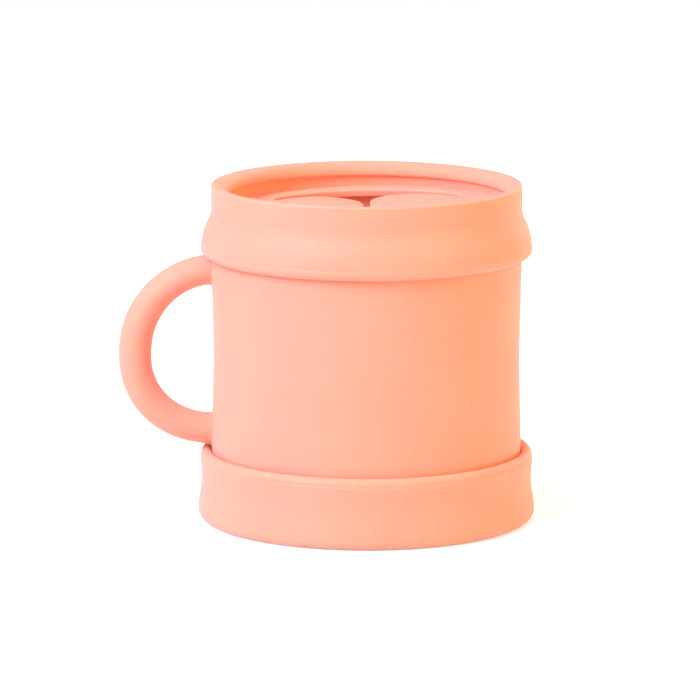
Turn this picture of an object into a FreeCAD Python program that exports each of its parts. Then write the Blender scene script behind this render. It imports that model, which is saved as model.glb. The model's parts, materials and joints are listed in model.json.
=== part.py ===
# Soft silicone snack cup for a small child: a handled cup, a collar lid with two bending flaps,
# and a round cap that is stored under the cup.
# Millimetres, +Z up. The origin is the middle of the flat underside of the cap, on the cup's axis.
# The handle points along -X, and the slot between the flaps runs along Y.
import FreeCAD, Part

import math
import os

from FreeCAD import Vector

# Fits between pieces that pull apart, and between pieces that bend past each other
FIT_GAP = 0.3
BEND_GAP = 0.3

# Cup: the wall draws in a little half way up what shows of it
CUP_RADIUS = 42.2
CUP_WALL = 2.6
CUP_WAIST = 0.5
CUP_FLOOR = 3.0
CUP_FOOT_ROUND = 3.0
CUP_INSIDE_ROUND = 5.0
CUP_RIM_ROUND = 0.8
CUP_FOOT_RING = 7.0
CUP_FOOT_HOLLOW = 0.8
SHOWN_WALL = 53.3

# Cap under the cup: rounded foot, slight waist, rolled lip
CAP_HEIGHT = 19.2
CAP_FLOOR = 2.4
CAP_FOOT_THICK = 3.5
CAP_FOOT_ROUND = 2.4
CAP_WAIST_THICK = 2.6
CAP_LIP_THICK = 2.9
CAP_LIP_ROUND = 1.6
CAP_LIP_INNER_ROUND = 0.8
CAP_INSIDE_ROUND = 2.2

# Handle: one loop of oval section between the cap and the lid
HANDLE_THICK = 8.7
HANDLE_WIDTH = 10.4
HANDLE_FINGER_ROOM = 16.6

# Lid collar: flared skirt over the cup's wall, straight rim band, lip that overhangs the well
CHANNEL_DEPTH = 8.5
SHOULDER_THICK = 4.3
WELL_DEPTH = 6.7
SKIRT_THICK = 2.6
SKIRT_ROUND = 2.2
SKIRT_INNER_ROUND = 0.3
NECK_ROUND = 8.0
RIM_BAND = 6.0
RIM_EDGE_ROUND = 0.5
LIP_WIDTH = 4.3
LIP_DEPTH = 3.8
LIP_ROUND = 2.0
UPPER_WALL = 2.7

# Lid deck: ring that carries the flaps, with a plug that enters the cup's mouth
DECK_THICK = 2.2
DECK_LEDGE = 5.3
DECK_EDGE_ROUND = 0.9
PLUG_DEPTH = 5.0
PLUG_WALL = 2.0
PLUG_ROUND = 0.8

# Flaps: thin half discs that bend on the straight line between the ends of their slits,
# which are given by their angle from the handle's axis
FLAP_THICK = 1.4
FLAP_SLIT = 0.6
FLAP_SLOT = 1.9
FLAP_CORNER_ROUND = 9.5
FLAP_RELIEF_RADIUS = 2.2
SLIT_END_DEGREES = 42.56
LEFT_DROOP_DEGREES = 3.5
RIGHT_DROOP_DEGREES = 1.5

# Heights and radii that follow from the sizes above
cup_base_z = CAP_FLOOR
skirt_z = CAP_HEIGHT + SHOWN_WALL
cup_rim_z = skirt_z + CHANNEL_DEPTH
deck_top_z = cup_rim_z + SHOULDER_THICK
deck_base_z = deck_top_z - DECK_THICK
lid_top_z = deck_top_z + WELL_DEPTH
cup_inner_radius = CUP_RADIUS - CUP_WALL
socket_radius = CUP_RADIUS + FIT_GAP
skirt_radius = socket_radius + SKIRT_THICK
rim_radius = CUP_RADIUS
well_radius = rim_radius - UPPER_WALL
lip_radius = rim_radius - LIP_WIDTH
lip_overhang = well_radius - lip_radius
plug_radius = cup_inner_radius - FIT_GAP
cap_foot_radius = socket_radius + CAP_FOOT_THICK
cap_waist_radius = socket_radius + CAP_WAIST_THICK
cap_lip_radius = socket_radius + CAP_LIP_THICK
deck_hole_radius = plug_radius - DECK_LEDGE
flap_radius = deck_hole_radius - FLAP_SLIT
flap_hinge_x = flap_radius * math.cos(math.radians(SLIT_END_DEGREES))
flap_axis_z = deck_base_z + FLAP_THICK / 2
slit_end_y = flap_radius * math.sin(math.radians(SLIT_END_DEGREES))

AXIS_POINT = Vector(0, 0, 0)
UP = Vector(0, 0, 1)
ALONG_X = Vector(1, 0, 0)
ALONG_Y = Vector(0, 1, 0)
BENDS = ("arc", "waist")


def at(radius, height):
    """A point of a turned profile, in the XZ plane."""
    return Vector(radius, 0, height)


def rounded(before, corner, after, radius):
    """Start, middle and end of the tangent arc that rounds a corner between two straight runs."""
    back = (before - corner).normalize()
    onward = (after - corner).normalize()
    half = back.getAngle(onward) / 2
    reach = radius / math.tan(half)
    middle = (back + onward).normalize() * (radius / math.sin(half) - radius)
    return corner + back * reach, corner + middle, corner + onward * reach


def waisted(low, radius, high):
    """A curve that is upright at both ends and has the given radius half way between them."""
    middle = (low + high) / 2
    quarter = UP * ((high.z - low.z) / 4)
    middle.x = (16 * radius - 5 * low.x - 5 * high.x) / 6
    curve = Part.BezierCurve()
    curve.setPoles([low, low + quarter, middle, high - quarter, high])
    return curve


def turned(steps):
    """A solid of revolution about Z from a closed profile.

    Each step is a corner (radius, height) or (radius, height, corner round), or tells how the line
    from the corner before it to the corner after it is bent: ("arc", radius, height) gives the
    middle point of an arc, and ("waist", radius) a curve that is upright at both ends.
    """
    corners = [step for step in steps if step[0] not in BENDS]
    points = [at(step[0], step[1]) for step in corners]
    leaves, arrives, edges = [], [], []
    for i, step in enumerate(corners):
        if len(step) == 3:
            start, middle, end = rounded(points[i - 1], points[i], points[(i + 1) % len(points)], step[2])
            edges.append(Part.Arc(start, middle, end).toShape())
        else:
            start = end = points[i]
        arrives.append(start)
        leaves.append(end)
    place = 0
    for i, step in enumerate(steps):
        if step[0] in BENDS:
            continue
        start = leaves[place]
        place = (place + 1) % len(corners)
        end = arrives[place]
        following = steps[(i + 1) % len(steps)]
        if following[0] == "arc":
            run = Part.Arc(start, at(following[1], following[2]), end)
        elif following[0] == "waist":
            run = waisted(start, following[1], end)
        else:
            run = Part.LineSegment(start, end)
        edges.append(run.toShape())
    wire = Part.Wire(Part.__sortEdges__(edges))
    return Part.Face(wire).revolve(AXIS_POINT, UP, 360)


def swell(low_z, high_z, low_radius, high_radius, bend):
    """Two tangent arcs from a wide low point to a narrow high one, both upright where they end.

    Gives the middle of the lower arc, the point where the arcs meet, and the middle of the upper arc.
    """
    drop = high_z - low_z
    draw = low_radius - high_radius
    both = (drop**2 + draw**2) / (2 * draw)
    turn = math.asin(drop / both)
    lower = both - bend

    def low_arc(angle):
        return low_radius - lower * (1 - math.cos(angle)), low_z + lower * math.sin(angle)

    def high_arc(angle):
        return high_radius + bend * (1 - math.cos(angle)), high_z - bend * math.sin(angle)

    return low_arc(turn / 2), low_arc(turn), high_arc(turn / 2)


def cup_envelope():
    """The cup's outer shape with no hollow, for cutting the handle's roots to the wall."""
    return turned([
        (0, cup_base_z),
        (CUP_RADIUS, cup_base_z),
        (CUP_RADIUS, CAP_HEIGHT),
        ("waist", CUP_RADIUS - CUP_WAIST),
        (CUP_RADIUS, skirt_z),
        (CUP_RADIUS, cup_rim_z),
        (0, cup_rim_z),
    ])


def cup_body():
    """Thin-walled cup with a rounded foot, a shallow hollow underneath and a rounded rim."""
    floor_z = cup_base_z + CUP_FLOOR
    hollow_radius = CUP_RADIUS - CUP_FOOT_RING
    return turned([
        (0, cup_base_z + CUP_FOOT_HOLLOW),
        (hollow_radius, cup_base_z + CUP_FOOT_HOLLOW),
        (hollow_radius + CUP_FOOT_HOLLOW, cup_base_z),
        (CUP_RADIUS, cup_base_z, CUP_FOOT_ROUND),
        (CUP_RADIUS, CAP_HEIGHT),
        ("waist", CUP_RADIUS - CUP_WAIST),
        (CUP_RADIUS, skirt_z),
        (CUP_RADIUS, cup_rim_z, CUP_RIM_ROUND),
        (cup_inner_radius, cup_rim_z, CUP_RIM_ROUND),
        (cup_inner_radius, skirt_z),
        ("waist", cup_inner_radius - CUP_WAIST),
        (cup_inner_radius, CAP_HEIGHT),
        (cup_inner_radius, floor_z, CUP_INSIDE_ROUND),
        (0, floor_z),
    ])


def handle():
    """Half ring of oval section with two straight roots, cut to the cup's wall."""
    low_z = CAP_HEIGHT + FIT_GAP
    high_z = skirt_z - FIT_GAP
    middle_z = (low_z + high_z) / 2
    loop_radius = (high_z - low_z - HANDLE_THICK) / 2
    reach = CUP_RADIUS + HANDLE_FINGER_ROOM + HANDLE_THICK / 2
    loop_x = -(reach - loop_radius)
    loop_centre = Vector(loop_x, 0, middle_z)
    top = loop_centre + UP * loop_radius
    axes = sorted([(HANDLE_WIDTH / 2, 0, ALONG_Y), (HANDLE_THICK / 2, 1, UP)], reverse=True)
    long_end, short_end = (top + direction * half for half, order, direction in axes)
    section = Part.Face(Part.Wire(Part.Ellipse(long_end, short_end, top).toShape()))
    bow = section.revolve(loop_centre, -ALONG_Y, 180)
    root = section.extrude(ALONG_X * (abs(loop_x) - cup_inner_radius / 2))
    low_root = root.copy()
    low_root.rotate(loop_centre, ALONG_X, 180)
    return bow.fuse([root, low_root]).removeSplitter().cut(cup_envelope())


def storage_cap():
    """Shallow round cap that the cup stands in; its lip is rolled and its foot rounded."""
    foot_z = CAP_FOOT_ROUND
    lip_z = CAP_HEIGHT - CAP_LIP_ROUND
    slope = 1 / math.sqrt(2)
    foot_mid = cap_foot_radius - CAP_FOOT_ROUND * (1 - slope)
    lip_mid = cap_lip_radius - CAP_LIP_ROUND * (1 - slope)
    return turned([
        (0, 0),
        (cap_foot_radius - CAP_FOOT_ROUND, 0),
        ("arc", foot_mid, CAP_FOOT_ROUND * (1 - slope)),
        (cap_foot_radius, foot_z),
        ("waist", cap_waist_radius),
        (cap_lip_radius, lip_z),
        ("arc", lip_mid, lip_z + CAP_LIP_ROUND * slope),
        (cap_lip_radius - CAP_LIP_ROUND, CAP_HEIGHT),
        (socket_radius, CAP_HEIGHT, CAP_LIP_INNER_ROUND),
        (socket_radius, CAP_FLOOR, CAP_INSIDE_ROUND),
        (0, CAP_FLOOR),
    ])


def lid_collar():
    """Outer ring of the lid: skirt over the cup's wall, shoulder on its rim, round lip over the well."""
    wide_z = skirt_z + SKIRT_ROUND
    band_z = lid_top_z - RIM_BAND
    lower, meet, upper = swell(wide_z, band_z, skirt_radius, rim_radius, NECK_ROUND)
    slope = 1 / math.sqrt(2)
    lip_z = lid_top_z - LIP_DEPTH
    return turned([
        (socket_radius, skirt_z, SKIRT_INNER_ROUND),
        (skirt_radius - SKIRT_ROUND, skirt_z),
        ("arc", skirt_radius - SKIRT_ROUND * (1 - slope), wide_z - SKIRT_ROUND * slope),
        (skirt_radius, wide_z),
        ("arc", *lower),
        meet,
        ("arc", *upper),
        (rim_radius, band_z),
        (rim_radius, lid_top_z, RIM_EDGE_ROUND),
        (lip_radius, lid_top_z, LIP_ROUND),
        (lip_radius, lip_z + lip_overhang),
        ("arc", well_radius - lip_overhang * slope, lip_z + lip_overhang * (1 - slope)),
        (well_radius, lip_z),
        (well_radius, deck_top_z),
        (plug_radius, deck_top_z),
        (plug_radius, cup_rim_z),
        (socket_radius, cup_rim_z),
    ])


def lid_deck():
    """Flat ring inside the collar with the round flap hole, and the plug below it."""
    plug_inner = plug_radius - PLUG_WALL
    plug_z = cup_rim_z - PLUG_DEPTH
    return turned([
        (deck_hole_radius, deck_base_z),
        (plug_inner, deck_base_z),
        (plug_inner, plug_z, PLUG_ROUND),
        (plug_radius, plug_z, PLUG_ROUND),
        (plug_radius, deck_top_z),
        (deck_hole_radius, deck_top_z, DECK_EDGE_ROUND),
    ])


def slit_ends():
    """Round relief holes at the two ends of a flap's bending line, on the right side."""
    hole = Part.makeCylinder(FLAP_RELIEF_RADIUS, DECK_THICK, Vector(flap_hinge_x, slit_end_y, deck_base_z))
    return hole.fuse(hole.mirror(AXIS_POINT, ALONG_Y))


def right_hinge_root():
    """Thin segment between the right bending line and the deck's hole."""
    disc = Part.makeCylinder(deck_hole_radius, FLAP_THICK, Vector(0, 0, deck_base_z))
    start_x = flap_hinge_x + FLAP_THICK / 2 + BEND_GAP
    corner = Vector(start_x, -deck_hole_radius, deck_base_z)
    keep = Part.makeBox(deck_hole_radius, 2 * deck_hole_radius, FLAP_THICK, corner)
    return disc.common(keep).cut(slit_ends())


def right_flap():
    """Thin half disc on the right, with a round nose on its bending line and rounded free corners."""
    disc = Part.makeCylinder(flap_radius, FLAP_THICK, Vector(0, 0, deck_base_z))
    free_x = FLAP_SLOT / 2
    corner = Vector(free_x, -flap_radius, deck_base_z)
    keep = Part.makeBox(flap_hinge_x - free_x, 2 * flap_radius, FLAP_THICK, corner)
    leaf = disc.common(keep)
    corners = [
        edge
        for edge in leaf.Edges
        if abs(edge.tangentAt(edge.FirstParameter).z) > 0.99 and edge.CenterOfMass.x < FLAP_CORNER_ROUND
    ]
    leaf = leaf.makeFillet(FLAP_CORNER_ROUND, corners).cut(slit_ends())
    nose_y = slit_end_y - FLAP_RELIEF_RADIUS
    nose_end = Vector(flap_hinge_x, -nose_y, flap_axis_z)
    nose = Part.makeCylinder(FLAP_THICK / 2, 2 * nose_y, nose_end, ALONG_Y)
    flap = leaf.fuse(nose).removeSplitter()
    flap.rotate(Vector(flap_hinge_x, 0, flap_axis_z), -ALONG_Y, RIGHT_DROOP_DEGREES)
    return flap


def left_from_right(shape):
    """The same piece on the left of the slot."""
    return shape.mirror(AXIS_POINT, ALONG_X)


def left_flap():
    """The right flap's twin, which hangs a little lower."""
    flap = left_from_right(right_flap())
    extra = LEFT_DROOP_DEGREES - RIGHT_DROOP_DEGREES
    flap.rotate(Vector(-flap_hinge_x, 0, flap_axis_z), ALONG_Y, extra)
    return flap


def single(shape):
    """The one solid of a shape, so that each piece is written as a plain solid."""
    if len(shape.Solids) != 1:
        raise ValueError("a piece came out as %d solids" % len(shape.Solids))
    return shape.Solids[0]


def main():
    """Builds every piece and writes one STEP file for each."""
    pieces = {
        "storage_cap": storage_cap(),
        "cup_body": cup_body(),
        "handle": handle(),
        "lid_collar": lid_collar(),
        "lid_deck": lid_deck(),
        "left_hinge_root": left_from_right(right_hinge_root()),
        "right_hinge_root": right_hinge_root(),
        "left_flap": left_flap(),
        "right_flap": right_flap(),
    }
    os.makedirs("parts", exist_ok=True)
    for name, shape in pieces.items():
        solid = single(shape)
        solid.exportStep("parts/%s.step" % name)
        print("%-18s valid %s, volume %.1f mm3" % (name, solid.isValid(), solid.Volume))


main()
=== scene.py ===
import json
import math

import bmesh
import bpy
from bpy.props import FloatProperty, FloatVectorProperty, PointerProperty
from mathutils import Matrix, Vector


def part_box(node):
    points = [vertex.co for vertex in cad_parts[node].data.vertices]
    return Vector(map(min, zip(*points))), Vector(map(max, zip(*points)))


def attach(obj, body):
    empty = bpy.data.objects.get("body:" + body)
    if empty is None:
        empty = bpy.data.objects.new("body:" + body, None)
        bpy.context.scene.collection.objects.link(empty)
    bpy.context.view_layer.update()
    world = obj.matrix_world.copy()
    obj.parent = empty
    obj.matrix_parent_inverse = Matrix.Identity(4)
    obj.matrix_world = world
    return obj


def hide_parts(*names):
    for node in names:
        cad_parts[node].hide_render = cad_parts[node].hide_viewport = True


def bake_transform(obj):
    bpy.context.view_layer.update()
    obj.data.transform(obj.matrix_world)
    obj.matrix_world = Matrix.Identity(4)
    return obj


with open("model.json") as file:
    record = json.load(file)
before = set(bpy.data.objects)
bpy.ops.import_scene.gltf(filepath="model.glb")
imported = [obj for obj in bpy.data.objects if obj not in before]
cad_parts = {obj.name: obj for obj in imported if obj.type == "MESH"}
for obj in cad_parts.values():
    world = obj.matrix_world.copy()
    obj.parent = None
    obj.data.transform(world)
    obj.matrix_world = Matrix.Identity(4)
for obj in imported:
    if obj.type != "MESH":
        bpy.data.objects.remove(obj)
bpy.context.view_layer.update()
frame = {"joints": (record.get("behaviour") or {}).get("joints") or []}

bl_info = {
    "name": "Silicone Snack Cup",
    "version": (1, 0, 0),
    "blender": (4, 5, 0),
    "location": "View3D > Sidebar > Snack Cup",
    "description": "Builds a small child's silicone snack cup: handled cup, flap lid and stored cap",
    "category": "Object",
}

MM = 0.001
UP = Vector((0, 0, 1))
SAME_PLACE = 1e-6

# Heights and hinges shared with the solids
CAP_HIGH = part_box("storage_cap")[1]
CUP_LOW, CUP_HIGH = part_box("cup_body")
LID_LOW, LID_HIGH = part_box("lid_collar")
DECK_LOW, DECK_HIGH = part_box("lid_deck")
HANDLE_LOW, HANDLE_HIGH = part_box("handle")
JOINTS = {joint["name"]: joint for joint in frame["joints"]}
RIGHT_HINGE = Vector(JOINTS["right_flap_bend"]["pos_m"])

# Steps once round each turned piece, and the sides and steps of the handle's loop
CUP_STEPS, LID_STEPS, CAP_STEPS = 64, 160, 160
LOOP_SIDES, LOOP_STEPS = 16, 16

# Cup: its foot and its roundings
FOOT_HOLLOW, HOLLOW_RADIUS, FOOT_RADIUS = 0.8 * MM, 35.2 * MM, 36.0 * MM
FOOT_ROUND, BASE_ROUND, RIM_ROUND, INSIDE_ROUND = 0.5 * MM, 3 * MM, 0.9 * MM, 5 * MM

# Cup: rows of faces round each handle root, in shares of its half height, then above, between and below
# the roots, inside the cup, and rings on its flat faces
ROOT_ROWS = (-1.15, -0.6, 0.0, 0.6, 1.15)
ROW_ABOVE_HANDLE, ROW_BETWEEN_ROOTS, LOWEST_ROW = 4.5 * MM, 9 * MM, 10 * MM
INSIDE_HIGH_ROWS, INSIDE_LOW_ROWS = (72 * MM, 60 * MM), (32 * MM, 19 * MM)
HOLLOW_RING, FLOOR_RINGS = 18 * MM, (26 * MM, 14 * MM)

# How much larger than a root its patch of wall faces is, and how many faces the patch has
PATCH_WIDE, PATCH_HIGH, PATCH_FACES = 1.25, 1.2, 16

# How the soft loop of the handle departs from a round one, and how it meets the wall
HANG_TURNS = 2.5
GRIP_SWELL, UPPER_TAPER, LOWER_TAPER = 1.03, 0.10, 0.05
LOOP_LEAD = math.radians(5)
ROOT_CREASE = 0.55

# Lid's ring, in millimetres: its fit on the cup, the heights of its flared side above the skirt's edge, the
# lip's depth, the lean of the hole's wall, and rings on the deck that let it slope
LID_GAP, PLUG_WALL = 0.3, 2.0
SKIRT_SEAM, SKIRT_BELLY, SKIRT_NECK = 2.45, 5.96, 11.4
LIP_DEPTH, HOLE_LEAN = 3.8, 0.45
DECK_RINGS = (3.4, 2.5, 1.7)

# How far the roundings reach at the foot of the well and where the plug leaves the deck, in millimetres
WELL_FOOT, PLUG_FOOT = 0.4, 1.0

# How a flap joins the deck and bends: how far its root runs on under the deck, how far below the flap's top
# the deck's slope ends, half the width of its hinge, its faces, and the steps of its round edges
ROOT_OVERLAP = 1.2 * MM
ROOT_DIP = 0.10 * MM
HINGE_REACH = 3 * MM
FLAP_STRIP = 1 * MM
FLAP_CELL = 3 * MM
ROOT_STEPS, LEAF_STEPS, CORNER_STEPS = 44, 20, 18

# Cap, in millimetres: its fit on the cup, its roundings, rings on its flat faces, the seam below its top and
# the room kept beside it, and steps up its side
CAP_GAP = 0.1
CAP_FOOT_ROUND, CAP_LIP_ROUND = 2.4, 1.6
CAP_BASE_RING, CAP_FLOOR_RING = 22, 20
CAP_SEAM, SEAM_CLEAR = 2.3, 0.3
CAP_SIDE_STEPS = 12

# Mould seam on the skirt and the cap, in millimetres
SEAM_RISE, SEAM_ROUND = 0.25, 0.15

# Silicone: what is the same all over it
SILICONE_SHADER = {
    "Specular IOR Level": 0.22,
    "Subsurface Weight": 1.0,
    "Subsurface Radius": (0.42, 0.36, 0.22),
    "Subsurface Scale": 3.5 * MM,
    "Sheen Weight": 0.05,
    "Sheen Roughness": 0.45,
}

# Silicone: each noise's scale, detail and roughness, the span that is used of it, and what it is mapped to
MOTTLE_NOISE, BLOOM_NOISE = (42, 4, 0.55), (75, 3, 0.5)
RIPPLE_NOISE, GRAIN_NOISE = (55, 1, 0.4), (2600, 2, 0.6)
NOISE_LOW, NOISE_HIGH = 0.3, 0.7
DEEP_SHARE, ROUGHNESS = (0.0, 0.55), (0.46, 0.56)

# Silicone: strength and height of its ripple and grain, and how far from a joint between two skins it is
# solid and is fully see-through again
RIPPLE_STRENGTH, RIPPLE_HEIGHT = 0.25, 0.4 * MM
GRAIN_STRENGTH, GRAIN_HEIGHT = 0.10, 0.12 * MM
JOINT_SOLID, JOINT_CLEAR = 1.5 * MM, 3.0 * MM

# Stage: floor, world, the point that lamps and camera face, and the lamps with place, size, power and tint
FLOOR_HALF, FLOOR_DROP = 4, 0.2 * MM
FLOOR_GLOW, FLOOR_GLOW_TINT = 0.5, (0.90, 0.93, 1.0)
AMBIENT, BACKDROP = 0.32, 1.0
STAGE_AIM = Vector((0, 0, 45 * MM))
SOFT_BOXES = {
    "key_light": ((-0.9, -0.8, 1.0), 0.8, 27.4, (0.80, 0.81, 1.0)),
    "warm_fill": ((0.95, -0.55, 0.40), 0.6, 8.5, (1.0, 0.46, 0.03)),
    "top_light": ((0.0, -0.2, 1.1), 0.9, 3.7, (1.0, 1.0, 1.0)),
    "edge_light": ((0.60, 0.90, 0.35), 0.6, 3.0, (1.0, 0.95, 0.90)),
}
INSIDE_SIZE, INSIDE_POWER, INSIDE_TINT = 12 * MM, 0.013, (1.0, 0.90, 1.0)

# Camera: picture width, focal length and the place of the cup's middle, in pixels, then where it stands
PICTURE_PIXELS, FOCAL_PIXELS = 700, 5500
MIDDLE_PIXEL_X, MIDDLE_PIXEL_Y = 366.5, 353.8
SENSOR_WIDTH = 36
CAMERA_DISTANCE, CAMERA_RANGE = 1.5, 20
CAMERA_ELEVATION, CAMERA_ROLL = math.radians(10.55), math.radians(0.1)


def length(name, description, default_mm):
    """A size that the user can change, kept in metres and shown in scene units."""
    return FloatProperty(
        name=name, description=description, default=default_mm * MM, unit="LENGTH", precision=5
    )


def angle(name, description, default_degrees):
    """An angle that the user can change."""
    return FloatProperty(
        name=name, description=description, default=math.radians(default_degrees), subtype="ANGLE"
    )


def colour(name, description, default):
    """A linear colour that the user can change."""
    return FloatVectorProperty(
        name=name, description=description, default=default, subtype="COLOR", size=3, min=0.0, max=1.0
    )


class SnackCupShape(bpy.types.PropertyGroup):
    """Sizes of the cup and its handle"""

    radius: length("Cup radius", "Outer radius of the wall where it is straight", 42.2)
    wall: length("Wall", "Thickness of the cup's wall", 2.6)
    waist: length("Waist", "How far the wall draws in half way up what shows of it", 0.5)
    floor: length("Floor", "Thickness of the cup's floor", 3.0)
    handle_thick: length("Handle thickness", "Size of the handle's oval section seen from the side", 8.7)
    handle_width: length("Handle width", "Size of the handle's oval section across the fingers", 10.4)
    root_flare: length("Root flare", "How far the handle swells where it grows out of the wall", 0.3)
    loop_hang: length("Loop hang", "How far the soft loop's lower half hangs out of round", 0.75)
    loop_rise: length("Loop rise", "How far the loop's upper arm rises towards the wall", 0.6)


class SnackCupLid(bpy.types.PropertyGroup):
    """Sizes of the lid's ring and its two flaps"""

    skirt_radius: length("Skirt radius", "Widest radius of the flared skirt", 45.1)
    lip_radius: length("Lip radius", "Inner radius of the lip that overhangs the well", 37.9)
    well_radius: length("Well radius", "Radius of the well's wall under the lip", 39.05)
    hole_radius: length("Hole radius", "Radius of the round hole that the flaps close", 34.0)
    deck_thick: length("Deck thickness", "Thickness of the deck that carries the flaps", 2.2)
    flap_thick: length("Flap thickness", "Thickness of the two flaps", 1.4)
    flap_slot: length("Slot", "Width of the straight slot between the flaps", 1.9)
    flap_slit: length("Slit", "Gap between a flap's round edge and the deck", 0.85)
    flap_corner: length("Flap corner", "Rounding of each flap's free corners", 9.5)
    flap_edge: length("Flap edge", "Rounding of each flap's edges", 0.3)
    deck_tilt: angle("Deck tilt", "How far the soft deck hangs towards the handle", 1.3)
    left_bend: length("Left bend", "How far from its hinge line the left flap goes on bending", 20.0)
    right_bend: length("Right bend", "How far from its hinge line the right flap goes on bending", 20.0)
    left_droop: angle("Left droop", "How far the left flap hangs", 3.6)
    right_droop: angle("Right droop", "How far the right flap hangs", 1.6)


class SnackCupCap(bpy.types.PropertyGroup):
    """Sizes of the cap that is stored under the cup"""

    foot_radius: length("Foot radius", "Widest radius, just above the floor", 46.0)
    waist_radius: length("Waist radius", "Radius half way up the cap's side", 45.1)
    lip_radius: length("Lip radius", "Radius of the rolled lip", 45.4)
    seam: length("Mould seam", "Step of the fine seam that the mould leaves", 0.18)


class SnackCupFinish(bpy.types.PropertyGroup):
    """Colours of the silicone and of the stage"""

    silicone: colour("Silicone", "Colour of the moulded silicone", (0.99, 0.418, 0.302))
    silicone_deep: colour("Silicone, deep", "Colour where the pigment lies thicker", (0.985, 0.38, 0.263))
    floor: colour("Floor", "Colour of the plain floor", (0.87, 0.87, 0.87))


def settings():
    """The add-on's settings on the current scene."""
    return bpy.context.scene.snack_cup


class SnackCupSettings(bpy.types.PropertyGroup):
    """All the sizes and colours of the snack cup"""

    shape: PointerProperty(type=SnackCupShape)
    lid: PointerProperty(type=SnackCupLid)
    cap: PointerProperty(type=SnackCupCap)
    finish: PointerProperty(type=SnackCupFinish)


# Turned shapes


def draw_outline(bm, corners, closed):
    """Draws a profile in the XZ plane, in metres, and rounds its corners.

    A corner is (radius, height) where it stays sharp, or (radius, height, rounding, segments).
    """
    verts = [bm.verts.new((corner[0], 0, corner[1])) for corner in corners]
    last = len(verts) if closed else len(verts) - 1
    for i in range(last):
        bm.edges.new((verts[i], verts[(i + 1) % len(verts)]))
    points = [vert.co.copy() for vert in verts]
    for i, corner in enumerate(corners):
        if len(corner) == 2:
            continue
        rounding, segments = corner[2:]
        before = points[i - 1] - points[i]
        after = points[(i + 1) % len(points)] - points[i]
        reach = rounding / math.tan(before.angle(after) / 2)
        bmesh.ops.bevel(
            bm, geom=[verts[i]], offset=reach, offset_type="OFFSET", affect="VERTICES", segments=segments,
            profile=0.5, material=-1, clamp_overlap=False,
        )


def turn(bm, steps):
    """Spins everything in the bmesh once round Z and closes the seam and the poles."""
    bmesh.ops.spin(
        bm, geom=bm.verts[:] + bm.edges[:], cent=(0, 0, 0), axis=UP, angle=math.tau, steps=steps,
        use_merge=True,
    )
    bmesh.ops.remove_doubles(bm, verts=bm.verts[:], dist=SAME_PLACE)
    bmesh.ops.recalc_face_normals(bm, faces=bm.faces[:])


def mm_points(*corners):
    """Corners given in millimetres, in metres."""
    return [tuple(v * MM for v in corner[:3]) + tuple(corner[3:]) for corner in corners]


def mould_seam(radius, height, step):
    """Corners of the small step inwards that a mould leaves, in millimetres."""
    return [(radius, height, SEAM_ROUND, 2), (radius - step, height + SEAM_RISE, SEAM_ROUND, 2)]


def new_piece(name, bm, material):
    """Turns a bmesh into a smooth-shaded object with one material, at the origin."""
    mesh = bpy.data.meshes.new(name)
    bm.to_mesh(mesh)
    bm.free()
    mesh.materials.append(material)
    mesh.shade_smooth()
    piece = bpy.data.objects.new(name, mesh)
    bpy.context.scene.collection.objects.link(piece)
    return piece


def shade_evenly(piece):
    """Keeps large faces flat in the shading, so that only the roundings turn."""
    even = piece.modifiers.new("even_shading", "WEIGHTED_NORMAL")
    even.keep_sharp = False


# Silicone


def add_node(tree, kind, plain=None, linked=None, operation=None):
    """Adds a node, sets its plain sockets and feeds the linked ones from outputs of other nodes."""
    node = tree.nodes.new(kind)
    if operation:
        node.operation = operation
    for socket, value in (plain or {}).items():
        node.inputs[socket].default_value = value
    for socket, output in (linked or {}).items():
        tree.links.new(output, node.inputs[socket])
    return node


def see_through(tree, place, joined_at):
    """How far the silicone is see-through: not at all near a radius, and fully away from it."""
    flat = add_node(tree, "ShaderNodeVectorMath", {1: (1, 1, 0)}, {0: place}, "MULTIPLY")
    across = add_node(tree, "ShaderNodeVectorMath", None, {0: flat.outputs["Vector"]}, "DISTANCE")
    away = add_node(tree, "ShaderNodeMath", {1: joined_at}, {0: across.outputs["Value"]}, "SUBTRACT")
    either_way = add_node(tree, "ShaderNodeMath", None, {0: away.outputs["Value"]}, "ABSOLUTE")
    reach = {"From Min": JOINT_SOLID, "From Max": JOINT_CLEAR}
    share = add_node(tree, "ShaderNodeMapRange", reach, {"Value": either_way.outputs["Value"]})
    return share.outputs["Result"]


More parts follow.
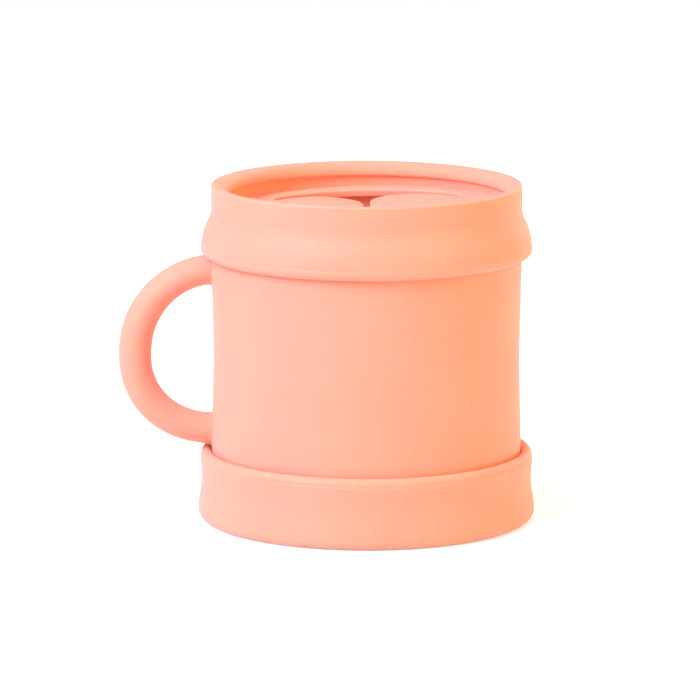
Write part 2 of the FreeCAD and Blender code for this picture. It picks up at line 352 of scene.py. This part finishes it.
def silicone(name, joined_at=None):
    """Matte moulded silicone: slightly see-through, with a powdery bloom, faint mottling and fine grain.

    At the radius joined_at, where another skin of the same moulding goes on, it isn't see-through, so that
    the joint between the two skins stays unseen.
    """
    material = bpy.data.materials.get(name)
    if material:
        return material
    material = bpy.data.materials.new(name)
    material.use_nodes = True
    tree = material.node_tree
    links = tree.links
    shader = tree.nodes["Principled BSDF"]
    for socket, value in SILICONE_SHADER.items():
        shader.inputs[socket].default_value = value
    place = tree.nodes.new("ShaderNodeTexCoord").outputs["Object"]

    def noise(scale, detail, rough):
        grains = {"Scale": scale, "Detail": detail, "Roughness": rough}
        return add_node(tree, "ShaderNodeTexNoise", grains, {"Vector": place}).outputs["Fac"]

    def ranged(value, low, high):
        spans = {"From Min": NOISE_LOW, "From Max": NOISE_HIGH, "To Min": low, "To Max": high}
        return add_node(tree, "ShaderNodeMapRange", spans, {"Value": value}).outputs["Result"]

    def bump(strength, height, linked):
        node = add_node(tree, "ShaderNodeBump", {"Strength": strength, "Distance": height}, linked)
        return node.outputs["Normal"]

    if joined_at:
        links.new(see_through(tree, place, joined_at), shader.inputs["Subsurface Weight"])
    finish = settings().finish
    mottle = tree.nodes.new("ShaderNodeMix")
    mottle.data_type = "RGBA"
    mottle.inputs["A"].default_value = (*finish.silicone, 1)
    mottle.inputs["B"].default_value = (*finish.silicone_deep, 1)
    links.new(ranged(noise(*MOTTLE_NOISE), *DEEP_SHARE), mottle.inputs["Factor"])
    links.new(mottle.outputs["Result"], shader.inputs["Base Color"])
    links.new(ranged(noise(*BLOOM_NOISE), *ROUGHNESS), shader.inputs["Roughness"])
    ripple = bump(RIPPLE_STRENGTH, RIPPLE_HEIGHT, {"Height": noise(*RIPPLE_NOISE)})
    grain = bump(GRAIN_STRENGTH, GRAIN_HEIGHT, {"Height": noise(*GRAIN_NOISE), "Normal": ripple})
    links.new(grain, shader.inputs["Normal"])
    return material


# Cup with its handle


def limit_swell(steps):
    """How much wider a ring of this many points is drawn, so that the smoothed skin has its true size."""
    return 3 / (2 + math.cos(math.tau / steps))


def wall_radius(z, radius):
    """Radius of the waisted wall at a height, between the cap and the lid's skirt."""
    low, high = CAP_HIGH[2], LID_LOW[2]
    t = min(max((z - low) / (high - low), 0), 1)
    return radius - settings().shape.waist * 16 * t**2 * (1 - t) ** 2


def open_root(bm, centre_z, half_height, half_width, radius):
    """Opens the wall where a handle root grows out and shapes the opening into an oval on the wall."""
    patch = []
    for face in bm.faces:
        middle = face.calc_center_median()
        outside = math.hypot(middle.x, middle.y) > radius - settings().shape.wall / 2
        beside = middle.x < 0 and abs(middle.y) < half_width * PATCH_WIDE
        if outside and beside and abs(middle.z - centre_z) < half_height * PATCH_HIGH:
            patch.append(face)
    if len(patch) != PATCH_FACES:
        raise RuntimeError("the handle's root opening took %d faces of the wall" % len(patch))
    bmesh.ops.delete(bm, geom=patch, context="FACES")
    open_edges = [edge for edge in bm.edges if edge.is_boundary]
    rim = [edge for edge in open_edges if abs(edge.verts[0].co.z - centre_z) < 2 * half_height]
    ring = {vert for edge in rim for vert in edge.verts}
    ordered = sorted(ring, key=lambda vert: math.atan2(vert.co.z - centre_z, vert.co.y))
    first = math.atan2(ordered[0].co.z - centre_z, ordered[0].co.y)
    start = round(first / (math.tau / len(ordered)))
    for i, vert in enumerate(ordered):
        turned_by = (start + i) * math.tau / len(ordered)
        y = half_width * math.cos(turned_by)
        z = centre_z + half_height * math.sin(turned_by)
        vert.co = (-math.sqrt(wall_radius(z, radius) ** 2 - y**2), y, z)
    return rim


def hang_loop(verts, centre, radius):
    """Shapes the round loop as it hangs: fuller below, risen at the upper arm and thinner at both arms."""
    shape = settings().shape
    for vert in verts:
        arm = vert.co - centre
        reach = math.hypot(arm.x, arm.z)
        fall = math.atan2(-arm.z, -arm.x)
        slope = math.sin(fall) ** 2
        if fall > 0:
            shift = shape.loop_hang * math.sin(fall * HANG_TURNS)
            swell = GRIP_SWELL - LOWER_TAPER * slope**2
        else:
            shift = shape.loop_rise * slope**2
            swell = GRIP_SWELL - UPPER_TAPER * slope
        grown = (radius + (reach - radius) * swell + shift) / reach
        vert.co = centre + Vector((arm.x * grown, arm.y, arm.z * grown))


def add_loop(bm, centre, radius, half_thick, half_width):
    """Adds the handle's loop, from its upper end to its lower one, and gives the edges of both ends."""
    before = set(bm.verts)
    section = limit_swell(LOOP_SIDES)
    stretch = Matrix.Diagonal((half_thick * section, half_width * section, 1, 1))
    stand = Matrix.Translation((0, 0, radius)) @ Matrix.Rotation(math.pi / 2, 4, "Y")
    aim = Matrix.Translation(centre) @ Matrix.Rotation(-LOOP_LEAD, 4, "Y") @ stand @ stretch
    made = bmesh.ops.create_circle(bm, cap_ends=False, segments=LOOP_SIDES, radius=1, matrix=aim)
    ring = made["verts"]
    upper = list({edge for vert in ring for edge in vert.link_edges})
    spun = bmesh.ops.spin(
        bm, geom=ring + upper, cent=centre, axis=(0, -1, 0), angle=math.pi - 2 * LOOP_LEAD,
        steps=LOOP_STEPS,
    )
    lower = [item for item in spun["geom_last"] if isinstance(item, bmesh.types.BMEdge)]
    hang_loop([vert for vert in bm.verts if vert not in before], centre, radius)
    return upper, lower


def cup_mesh():
    """One seamless skin: the wall, rim, inside and foot of the cup, and the handle that grows out of it."""
    shape = settings().shape
    swell = limit_swell(CUP_STEPS)
    radius, inner = shape.radius * swell, (shape.radius - shape.wall) * swell
    base, rim = CUP_LOW[2], CUP_HIGH[2]
    low, high = HANDLE_LOW[2], HANDLE_HIGH[2]
    middle = (low + high) / 2
    thick, width = shape.handle_thick / 2, shape.handle_width / 2
    half_height, half_width = thick + shape.root_flare, width + shape.root_flare
    loop_radius = (high - low) / 2 - thick
    low_root = middle - loop_radius + shape.loop_hang / 2
    high_root = middle + loop_radius + shape.loop_rise
    rows = [root + half_height * share for root in (low_root, high_root) for share in ROOT_ROWS]
    rows += [middle - ROW_BETWEEN_ROOTS, middle, middle + ROW_BETWEEN_ROOTS]
    rows += [LOWEST_ROW, high + ROW_ABOVE_HANDLE]
    outside = [(wall_radius(z, radius), z) for z in sorted(rows)]
    inside = [(wall_radius(z, inner), z) for z in (*INSIDE_HIGH_ROWS, middle, *INSIDE_LOW_ROWS)]
    hollow = base + FOOT_HOLLOW
    floor = base + shape.floor
    bm = bmesh.new()
    crease = bm.edges.layers.float.new("crease_edge")
    draw_outline(
        bm,
        [
            (0, hollow),
            (HOLLOW_RING, hollow),
            (HOLLOW_RADIUS, hollow, FOOT_ROUND, 3),
            (FOOT_RADIUS, base, FOOT_ROUND, 3),
            (radius, base, BASE_ROUND, 5),
            *outside,
            (radius, rim, RIM_ROUND, 5),
            (inner, rim, RIM_ROUND, 5),
            *inside,
            (inner, floor, INSIDE_ROUND, 6),
            *((across, floor) for across in FLOOR_RINGS),
            (0, floor),
        ],
        closed=False,
    )
    turn(bm, CUP_STEPS)
    openings = [open_root(bm, root, half_height, half_width, radius) for root in (high_root, low_root)]
    for edge in openings[0] + openings[1]:
        edge[crease] = ROOT_CREASE
    loop_centre = Vector((HANDLE_LOW[0] + thick + loop_radius, 0, middle))
    arms = add_loop(bm, loop_centre, loop_radius, thick, width)
    for opening, arm in zip(openings, arms):
        bmesh.ops.bridge_loops(bm, edges=opening + arm)
    bmesh.ops.recalc_face_normals(bm, faces=bm.faces[:])
    return bm


class SNACKCUP_OT_cup(bpy.types.Operator):
    """Make the cup and its handle as one skin"""

    bl_idname = "snack_cup.make_cup"
    bl_label = "Cup and Handle"
    bl_options = {"REGISTER", "UNDO"}

    def execute(self, context):
        piece = new_piece("cup_skin", cup_mesh(), silicone("cup_silicone"))
        smooth = piece.modifiers.new("smooth_skin", "SUBSURF")
        smooth.levels = smooth.render_levels = 2
        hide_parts("cup_body", "handle")
        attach(piece, "cup")
        return {"FINISHED"}


# Lid


def slit_end(lid):
    """Angle from the handle's line at which the slits end and a flap grows out of the deck."""
    return math.acos(RIGHT_HINGE.x / (lid.hole_radius - lid.flap_slit))


def slope_deck(bm, lid):
    """Runs the deck's top smoothly down to the flaps where they grow out of it."""
    lowest = RIGHT_HINGE.z + lid.flap_thick / 2 - ROOT_DIP
    drop = DECK_HIGH[2] - lowest
    reach = lid.well_radius - WELL_FOOT * MM - lid.hole_radius
    for vert in bm.verts:
        t = (vert.co.xy.length - lid.hole_radius) / reach
        on_top = -SAME_PLACE < t < 1 and lowest < vert.co.z < DECK_HIGH[2] + SAME_PLACE
        if on_top and math.atan2(abs(vert.co.y), abs(vert.co.x)) < slit_end(lid):
            t = max(t, 0)
            vert.co.z = min(vert.co.z, lowest + drop * t * t * (3 - 2 * t))


def ring_mesh():
    """The lid's ring: flared skirt, rim band, lip, well, deck and the plug inside the cup's mouth."""
    lid, shape, cap = settings().lid, settings().shape, settings().cap
    skirt, top = LID_LOW[2] / MM, LID_HIGH[2] / MM
    deck, plug = DECK_HIGH[2] / MM, DECK_LOW[2] / MM
    channel = CUP_HIGH[2] / MM
    wide, band = lid.skirt_radius / MM, shape.radius / MM
    socket = band + LID_GAP
    plug_radius = (shape.radius - shape.wall) / MM - LID_GAP
    plug_inner = plug_radius - PLUG_WALL
    lip, well, hole = lid.lip_radius / MM, lid.well_radius / MM, lid.hole_radius / MM
    seam = cap.seam / MM
    under = deck - lid.deck_thick / MM
    bm = bmesh.new()
    draw_outline(
        bm,
        mm_points(
            (socket, skirt, 0.35, 3),
            (wide, skirt, 2.2, 8),
            *mould_seam(wide, skirt + SKIRT_SEAM, seam),
            (wide - seam, skirt + SKIRT_BELLY, 14.0, 10),
            (band, skirt + SKIRT_NECK, 7.8, 8),
            (band, top, 0.5, 4),
            (lip, top, 3.0, 12),
            (lip, top - LIP_DEPTH, 0.75, 6),
            (well, top - LIP_DEPTH),
            (well, deck, 0.35, 3),
            *((hole + out, deck) for out in DECK_RINGS),
            (hole, deck, 0.8, 8),
            (hole + HOLE_LEAN, under, 0.25, 3),
            (plug_inner, under, 0.9, 4),
            (plug_inner, plug, 0.8, 4),
            (plug_radius, plug, 0.8, 4),
            (plug_radius, channel, 0.3, 3),
            (socket, channel, 0.4, 3),
        ),
        closed=True,
    )
    turn(bm, LID_STEPS)
    slope_deck(bm, lid)
    lowest, highest = (under - PLUG_FOOT) * MM, (deck + WELL_FOOT) * MM
    for vert in bm.verts:
        if vert.co.xy.length < lid.well_radius + SAME_PLACE and lowest < vert.co.z < highest:
            vert.co.z += vert.co.x * math.tan(lid.deck_tilt)
    return bm


class SNACKCUP_OT_lid_ring(bpy.types.Operator):
    """Make the lid's ring with its skirt, lip, deck and plug"""

    bl_idname = "snack_cup.make_lid_ring"
    bl_label = "Lid Ring"
    bl_options = {"REGISTER", "UNDO"}

    def execute(self, context):
        lid = settings().lid
        piece = new_piece("lid_ring", ring_mesh(), silicone("lid_silicone", lid.hole_radius))
        shade_evenly(piece)
        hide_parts("lid_collar", "lid_deck")
        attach(piece, "lid")
        return {"FINISHED"}


def arc_from(bm, vert, centre, turned_by, steps):
    """Draws an arc of edges from a vertex round an upright axis and gives its last vertex."""
    spun = bmesh.ops.spin(bm, geom=[vert], cent=centre, axis=UP, angle=turned_by, steps=steps)
    return next(item for item in spun["geom_last"] if isinstance(item, bmesh.types.BMVert))


def draw_flap(bm, lid, base):
    """Draws the right flap's outline: the root under the deck, the slits and the straight slot."""
    hole = lid.hole_radius + ROOT_OVERLAP
    edge = lid.hole_radius - lid.flap_slit
    corner = lid.flap_corner
    corner_x = lid.flap_slot / 2 + corner
    corner_y = math.sqrt((edge - corner) ** 2 - corner_x**2)
    slit, rounded = slit_end(lid), math.atan2(corner_y, corner_x)
    centre = Vector((0, 0, base))
    start = bm.verts.new((hole * math.cos(slit), -hole * math.sin(slit), base))
    root_end = arc_from(bm, start, centre, 2 * slit, ROOT_STEPS)
    leaf_start = bm.verts.new((edge * math.cos(slit), edge * math.sin(slit), base))
    bm.edges.new((root_end, leaf_start))
    leaf_end = arc_from(bm, leaf_start, centre, rounded - slit, LEAF_STEPS)
    near_corner = Vector((corner_x, corner_y, base))
    slot_end = arc_from(bm, leaf_end, near_corner, math.pi - rounded, CORNER_STEPS)
    slot_far = bm.verts.new((slot_end.co.x, -slot_end.co.y, base))
    bm.edges.new((slot_end, slot_far))
    far_corner = Vector((corner_x, -corner_y, base))
    leaf_far = arc_from(bm, slot_far, far_corner, math.pi - rounded, CORNER_STEPS)
    far_end = arc_from(bm, leaf_far, centre, rounded - slit, LEAF_STEPS)
    bm.edges.new((far_end, start))
    bmesh.ops.remove_doubles(bm, verts=bm.verts[:], dist=SAME_PLACE)


def cut_flap(bm, lid):
    """Cuts the flap into small faces, in strips along its hinge line, so that it can bend."""
    strips, cells = round(lid.hole_radius / FLAP_STRIP), int(lid.hole_radius / FLAP_CELL)
    cuts = [(i * FLAP_STRIP, Vector((1, 0, 0))) for i in range(1, strips)]
    cuts += [(i * FLAP_CELL, Vector((0, 1, 0))) for i in range(1 - cells, cells)]
    for place, across in cuts:
        everything = bm.verts[:] + bm.edges[:] + bm.faces[:]
        bmesh.ops.bisect_plane(
            bm, geom=everything, plane_co=across * place, plane_no=across, dist=SAME_PLACE
        )


def flap_mesh(side, droop, bend, hinge):
    """A thin half disc from the deck's hole to the slot, hanging a little from its hinge line."""
    lid = settings().lid
    bm = bmesh.new()
    draw_flap(bm, lid, hinge.z - lid.flap_thick / 2)
    bmesh.ops.contextual_create(bm, geom=bm.edges[:])
    raised = bmesh.ops.extrude_face_region(bm, geom=bm.faces[:], use_keep_orig=True)["geom"]
    lifted = [item for item in raised if isinstance(item, bmesh.types.BMVert)]
    bmesh.ops.translate(bm, verts=lifted, vec=UP * lid.flap_thick)
    bmesh.ops.recalc_face_normals(bm, faces=bm.faces[:])
    level = [e for e in bm.edges if abs(e.verts[0].co.z - e.verts[1].co.z) < SAME_PLACE]
    bmesh.ops.bevel(
        bm, geom=level, offset=lid.flap_edge, offset_type="OFFSET", affect="EDGES", segments=3,
        profile=0.5, material=-1, clamp_overlap=True,
    )
    cut_flap(bm, lid)
    if side < 0:
        bmesh.ops.scale(bm, vec=(-1, 1, 1), verts=bm.verts[:])
        bmesh.ops.reverse_faces(bm, faces=bm.faces[:])
    for vert in bm.verts:
        inward = (hinge.x - vert.co.x) * side
        share = min(max((inward + HINGE_REACH) / (bend + HINGE_REACH), 0), 1)
        share = share * share * (3 - 2 * share)
        turn_by = Matrix.Rotation(-side * droop * share, 3, "Y")
        tilt_by = UP * (vert.co.x * math.tan(lid.deck_tilt))
        vert.co = turn_by @ (vert.co - hinge) + hinge + tilt_by
    return bm


class SNACKCUP_OT_flaps(bpy.types.Operator):
    """Make the two soft flaps that bend where they join the lid's deck"""

    bl_idname = "snack_cup.make_flaps"
    bl_label = "Flaps"
    bl_options = {"REGISTER", "UNDO"}

    def execute(self, context):
        lid = settings().lid
        left = (-1, "left", lid.left_droop, lid.left_bend)
        right = (1, "right", lid.right_droop, lid.right_bend)
        for side, name, droop, bend in (left, right):
            hinge = Vector(JOINTS[name + "_flap_bend"]["pos_m"])
            bm = flap_mesh(side, droop, bend, hinge)
            piece = new_piece(name + "_flap_skin", bm, silicone("flap_silicone", lid.hole_radius))
            shade_evenly(piece)
            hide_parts(name + "_flap", name + "_hinge_root")
            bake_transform(piece)
        return {"FINISHED"}


# Cap


def cap_side(foot, waist, lip, low, high):
    """Points on the cap's side, in millimetres: a curve that draws in to the waist half way up."""
    pull = (16 * waist - 5 * foot - 5 * lip) / 6
    points = []
    for i in range(1, CAP_SIDE_STEPS):
        t = i / CAP_SIDE_STEPS
        weights = ((1 - t) ** 4, 4 * t * (1 - t) ** 3, 6 * t**2 * (1 - t) ** 2, 4 * t**3 * (1 - t), t**4)
        across = sum(w * r for w, r in zip(weights, (foot, foot, pull, lip, lip)))
        points.append((across, low + (high - low) * t))
    return points


def cap_mesh():
    """The shallow cap: rounded foot, slightly waisted side with a fine mould seam, rolled lip."""
    cap, shape = settings().cap, settings().shape
    foot, waist, lip = cap.foot_radius / MM, cap.waist_radius / MM, cap.lip_radius / MM
    top = CAP_HIGH[2] / MM
    floor = CUP_LOW[2] / MM
    socket = shape.radius / MM + CAP_GAP
    seam, seam_z = cap.seam / MM, top - CAP_SEAM
    side = cap_side(foot, waist, lip, CAP_FOOT_ROUND, top - CAP_LIP_ROUND)
    side = [point for point in side if abs(point[1] - seam_z) > SEAM_CLEAR]
    side += mould_seam(lip, seam_z, seam)
    bm = bmesh.new()
    draw_outline(
        bm,
        mm_points(
            (0, 0),
            (CAP_BASE_RING, 0),
            (foot, 0, CAP_FOOT_ROUND, 8),
            *sorted(side, key=lambda point: point[1]),
            (lip - seam, top, CAP_LIP_ROUND, 8),
            (socket, top, 1.2, 5),
            (socket, floor, 2.2, 5),
            (CAP_FLOOR_RING, floor),
            (0, floor),
        ),
        closed=False,
    )
    turn(bm, CAP_STEPS)
    return bm


class SNACKCUP_OT_cap(bpy.types.Operator):
    """Make the cap that is stored under the cup"""

    bl_idname = "snack_cup.make_cap"
    bl_label = "Stored Cap"
    bl_options = {"REGISTER", "UNDO"}

    def execute(self, context):
        piece = new_piece("cap_skin", cap_mesh(), silicone("cap_silicone"))
        shade_evenly(piece)
        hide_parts("storage_cap")
        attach(piece, "cap")
        return {"FINISHED"}


# Stage


def floor_material():
    """Plain white floor that keeps the object's soft shadow and is white to the camera where it is lit."""
    material = bpy.data.materials.new("studio_floor")
    material.use_nodes = True
    tree = material.node_tree
    tree.nodes.remove(tree.nodes["Principled BSDF"])
    diffuse = add_node(tree, "ShaderNodeBsdfDiffuse", {"Color": (*settings().finish.floor, 1)})
    path = tree.nodes.new("ShaderNodeLightPath").outputs
    rays = {0: path["Is Camera Ray"], 1: path["Is Glossy Ray"]}
    seen = add_node(tree, "ShaderNodeMath", None, rays, "MAXIMUM")
    level = add_node(tree, "ShaderNodeMath", {1: FLOOR_GLOW}, {0: seen.outputs[0]}, "MULTIPLY")
    tint = {"Color": (*FLOOR_GLOW_TINT, 1)}
    white = add_node(tree, "ShaderNodeEmission", tint, {"Strength": level.outputs[0]})
    both = add_node(tree, "ShaderNodeAddShader", None, {0: diffuse.outputs[0], 1: white.outputs[0]})
    tree.links.new(both.outputs[0], tree.nodes["Material Output"].inputs["Surface"])
    return material


def studio_world():
    """White to the camera, and a soft even light for everything else."""
    world = bpy.data.worlds.new("studio_world")
    world.use_nodes = True
    tree = world.node_tree
    backdrop = tree.nodes["Background"]
    backdrop.inputs["Color"].default_value = (1, 1, 1, 1)
    seen = tree.nodes.new("ShaderNodeLightPath").outputs["Is Camera Ray"]
    levels = {"To Min": AMBIENT, "To Max": BACKDROP}
    level = add_node(tree, "ShaderNodeMapRange", levels, {"Value": seen})
    tree.links.new(level.outputs["Result"], backdrop.inputs["Strength"])
    bpy.context.scene.world = world


def new_lamp(name, kind, place, power, tint):
    """Adds a lamp at a place and gives its object."""
    light = bpy.data.lights.new(name, kind)
    light.energy = power
    light.color = tint
    lamp = bpy.data.objects.new(name, light)
    lamp.location = place
    bpy.context.scene.collection.objects.link(lamp)
    return lamp


def soft_box(name, place, size, power, tint):
    """A square soft box that faces the cup."""
    lamp = new_lamp(name, "AREA", place, power, tint)
    lamp.data.size = size
    lamp.rotation_euler = (STAGE_AIM - Vector(place)).to_track_quat("-Z", "Y").to_euler()


def inside_light():
    """A weak round lamp in the hollow cup, for the daylight that the thin walls let through."""
    lamp = new_lamp("inside_light", "POINT", STAGE_AIM, INSIDE_POWER, INSIDE_TINT)
    lamp.data.shadow_soft_size = INSIDE_SIZE
    lamp.visible_camera = False


def photo_camera():
    """Long-lens camera in front of the cup and a little above it, which shows it right of the middle."""
    lens = bpy.data.cameras.new("photo_camera")
    lens.sensor_fit = "HORIZONTAL"
    lens.sensor_width = SENSOR_WIDTH
    lens.lens = FOCAL_PIXELS / PICTURE_PIXELS * SENSOR_WIDTH
    lens.shift_x = -(MIDDLE_PIXEL_X - PICTURE_PIXELS / 2) / PICTURE_PIXELS
    lens.shift_y = (MIDDLE_PIXEL_Y - PICTURE_PIXELS / 2) / PICTURE_PIXELS
    lens.clip_end = CAMERA_RANGE
    camera = bpy.data.objects.new("photo_camera", lens)
    towards = Vector((0, -math.cos(CAMERA_ELEVATION), math.sin(CAMERA_ELEVATION)))
    camera.matrix_world = (
        Matrix.Translation(STAGE_AIM + towards * CAMERA_DISTANCE)
        @ Matrix.Rotation(math.pi / 2 - CAMERA_ELEVATION, 4, "X")
        @ Matrix.Rotation(CAMERA_ROLL, 4, "Z")
    )
    bpy.context.scene.collection.objects.link(camera)
    bpy.context.scene.camera = camera


class SNACKCUP_OT_stage(bpy.types.Operator):
    """Make the floor, the lamps, the white world and the camera"""

    bl_idname = "snack_cup.make_stage"
    bl_label = "Studio Stage"
    bl_options = {"REGISTER", "UNDO"}

    def execute(self, context):
        bm = bmesh.new()
        bmesh.ops.create_grid(bm, x_segments=1, y_segments=1, size=FLOOR_HALF)
        bmesh.ops.translate(bm, verts=bm.verts[:], vec=-UP * FLOOR_DROP)
        floor = new_piece("studio_floor", bm, floor_material())
        studio_world()
        for name, (place, size, power, tint) in SOFT_BOXES.items():
            soft_box(name, place, size, power, tint)
        inside_light()
        photo_camera()
        context.scene.view_settings.view_transform = "Standard"
        return {"FINISHED"}


class SNACKCUP_PT_pieces(bpy.types.Panel):
    """Lists the settings and the pieces of the snack cup"""

    bl_idname = "SNACKCUP_PT_pieces"
    bl_label = "Snack Cup"
    bl_space_type = "VIEW_3D"
    bl_region_type = "UI"
    bl_category = "Snack Cup"

    def draw(self, context):
        layout = self.layout
        for group in (settings().shape, settings().lid, settings().cap, settings().finish):
            box = layout.box()
            for name in group.__annotations__:
                box.prop(group, name)
        for operator in OPERATORS:
            layout.operator(operator.bl_idname)


GROUPS = (SnackCupShape, SnackCupLid, SnackCupCap, SnackCupFinish, SnackCupSettings)
OPERATORS = (SNACKCUP_OT_cap, SNACKCUP_OT_cup, SNACKCUP_OT_lid_ring, SNACKCUP_OT_flaps, SNACKCUP_OT_stage)
CLASSES = (*GROUPS, *OPERATORS, SNACKCUP_PT_pieces)


def register():
    for cls in CLASSES:
        bpy.utils.register_class(cls)
    bpy.types.Scene.snack_cup = PointerProperty(type=SnackCupSettings)


def unregister():
    del bpy.types.Scene.snack_cup
    for cls in reversed(CLASSES):
        bpy.utils.unregister_class(cls)


def main():
    register()
    bpy.ops.snack_cup.make_cap()
    bpy.ops.snack_cup.make_cup()
    bpy.ops.snack_cup.make_lid_ring()
    bpy.ops.snack_cup.make_flaps()
    bpy.ops.snack_cup.make_stage()


if __name__ == "__main__":
    main()
